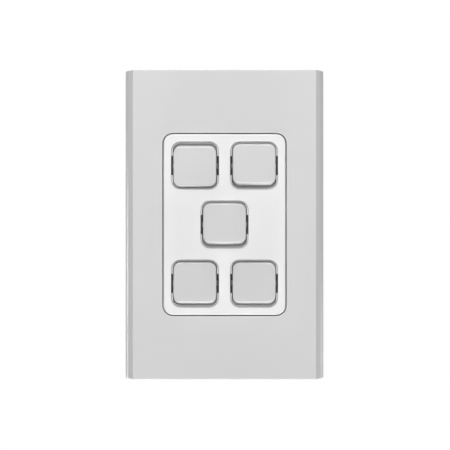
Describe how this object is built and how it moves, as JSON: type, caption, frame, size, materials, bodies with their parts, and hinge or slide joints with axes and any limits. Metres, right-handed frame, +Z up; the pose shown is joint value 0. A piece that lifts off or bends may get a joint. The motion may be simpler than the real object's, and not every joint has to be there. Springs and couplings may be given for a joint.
{
  "type": "grid switch plate",
  "caption": "Upright wall plate with a clip-on cover, rolled side flanks and square rockers in a raised panel, each with its own switch mechanism behind.",
  "frame": {"origin": "middle of the plate in the wall plane, halfway between the fixing holes", "axes": "+X to the right seen from the front, +Y into the wall, +Z up; the front faces -Y"},
  "size_m": [0.0766, 0.0326, 0.1184],
  "materials": {
    "cover_grey": "satin light grey moulding",
    "panel_white": "satin white moulding",
    "cap_grey": "satin light grey moulding",
    "carrier_white": "plain white moulding",
    "spring_steel": "drawn spring wire",
    "plunger_nylon": "natural nylon",
    "contact_brass": "stamped brass strip",
    "housing_dark": "dark grey moulding",
    "terminal_brass": "machined brass",
    "screw_steel": "zinc plated steel"
  },
  "bodies": {
    "plate": {"cover_plate": "cover_grey", "grid_plate": "panel_white", "mech_housing_top_left": "housing_dark", "terminal_common_top_left": "terminal_brass", "terminal_one_top_left": "terminal_brass", "terminal_two_top_left": "terminal_brass", "terminal_screws_top_left": "screw_steel", "mech_housing_top_right": "housing_dark", "terminal_common_top_right": "terminal_brass", "terminal_one_top_right": "terminal_brass", "terminal_two_top_right": "terminal_brass", "terminal_screws_top_right": "screw_steel", "mech_housing_centre": "housing_dark", "terminal_common_centre": "terminal_brass", "terminal_one_centre": "terminal_brass", "terminal_two_centre": "terminal_brass", "terminal_screws_centre": "screw_steel", "mech_housing_bottom_left": "housing_dark", "terminal_common_bottom_left": "terminal_brass", "terminal_one_bottom_left": "terminal_brass", "terminal_two_bottom_left": "terminal_brass", "terminal_screws_bottom_left": "screw_steel", "mech_housing_bottom_right": "housing_dark", "terminal_common_bottom_right": "terminal_brass", "terminal_one_bottom_right": "terminal_brass", "terminal_two_bottom_right": "terminal_brass", "terminal_screws_bottom_right": "screw_steel"},
    "rocker_top_left": {"rocker_cap_top_left": "cap_grey", "rocker_top_left": "carrier_white", "toggle_spring_top_left": "spring_steel", "plunger_top_left": "plunger_nylon"},
    "bridge_top_left": {"contact_bridge_top_left": "contact_brass"},
    "rocker_top_right": {"rocker_cap_top_right": "cap_grey", "rocker_top_right": "carrier_white", "toggle_spring_top_right": "spring_steel", "plunger_top_right": "plunger_nylon"},
    "bridge_top_right": {"contact_bridge_top_right": "contact_brass"},
    "rocker_centre": {"rocker_cap_centre": "cap_grey", "rocker_centre": "carrier_white", "toggle_spring_centre": "spring_steel", "plunger_centre": "plunger_nylon"},
    "bridge_centre": {"contact_bridge_centre": "contact_brass"},
    "rocker_bottom_left": {"rocker_cap_bottom_left": "cap_grey", "rocker_bottom_left": "carrier_white", "toggle_spring_bottom_left": "spring_steel", "plunger_bottom_left": "plunger_nylon"},
    "bridge_bottom_left": {"contact_bridge_bottom_left": "contact_brass"},
    "rocker_bottom_right": {"rocker_cap_bottom_right": "cap_grey", "rocker_bottom_right": "carrier_white", "toggle_spring_bottom_right": "spring_steel", "plunger_bottom_right": "plunger_nylon"},
    "bridge_bottom_right": {"contact_bridge_bottom_right": "contact_brass"}
  },
  "joints": [
    {"name": "top_left_rocker", "type": "hinge", "parent": "plate", "child": "rocker_top_left", "pos_m": [-0.01125, -0.0052, 0.0225], "axis": [1, 0, 0], "range_deg": [-10.4, 0]},
    {"name": "top_left_bridge", "type": "hinge", "parent": "plate", "child": "bridge_top_left", "pos_m": [-0.01125, 0.00812, 0.0225], "axis": [1, 0, 0], "range_deg": [0, 14]},
    {"name": "top_right_rocker", "type": "hinge", "parent": "plate", "child": "rocker_top_right", "pos_m": [0.01125, -0.0052, 0.0225], "axis": [1, 0, 0], "range_deg": [0, 10.4]},
    {"name": "top_right_bridge", "type": "hinge", "parent": "plate", "child": "bridge_top_right", "pos_m": [0.01125, 0.00812, 0.0225], "axis": [1, 0, 0], "range_deg": [-14, 0]},
    {"name": "centre_rocker", "type": "hinge", "parent": "plate", "child": "rocker_centre", "pos_m": [0, -0.0052, 0], "axis": [1, 0, 0], "range_deg": [0, 10.4]},
    {"name": "centre_bridge", "type": "hinge", "parent": "plate", "child": "bridge_centre", "pos_m": [0, 0.00812, 0], "axis": [1, 0, 0], "range_deg": [-14, 0]},
    {"name": "bottom_left_rocker", "type": "hinge", "parent": "plate", "child": "rocker_bottom_left", "pos_m": [-0.01125, -0.0052, -0.0225], "axis": [1, 0, 0], "range_deg": [0, 10.4]},
    {"name": "bottom_left_bridge", "type": "hinge", "parent": "plate", "child": "bridge_bottom_left", "pos_m": [-0.01125, 0.00812, -0.0225], "axis": [1, 0, 0], "range_deg": [-14, 0]},
    {"name": "bottom_right_rocker", "type": "hinge", "parent": "plate", "child": "rocker_bottom_right", "pos_m": [0.01125, -0.0052, -0.0225], "axis": [1, 0, 0], "range_deg": [0, 10.4]},
    {"name": "bottom_right_bridge", "type": "hinge", "parent": "plate", "child": "bridge_bottom_right", "pos_m": [0.01125, 0.00812, -0.0225], "axis": [1, 0, 0], "range_deg": [-14, 0]}
  ],
  "couplings": [
    {"joint": "top_left_bridge", "follows": "top_left_rocker", "ratio": -1.3462},
    {"joint": "top_right_bridge", "follows": "top_right_rocker", "ratio": -1.3462},
    {"joint": "centre_bridge", "follows": "centre_rocker", "ratio": -1.3462},
    {"joint": "bottom_left_bridge", "follows": "bottom_left_rocker", "ratio": -1.3462},
    {"joint": "bottom_right_bridge", "follows": "bottom_right_rocker", "ratio": -1.3462}
  ]
}
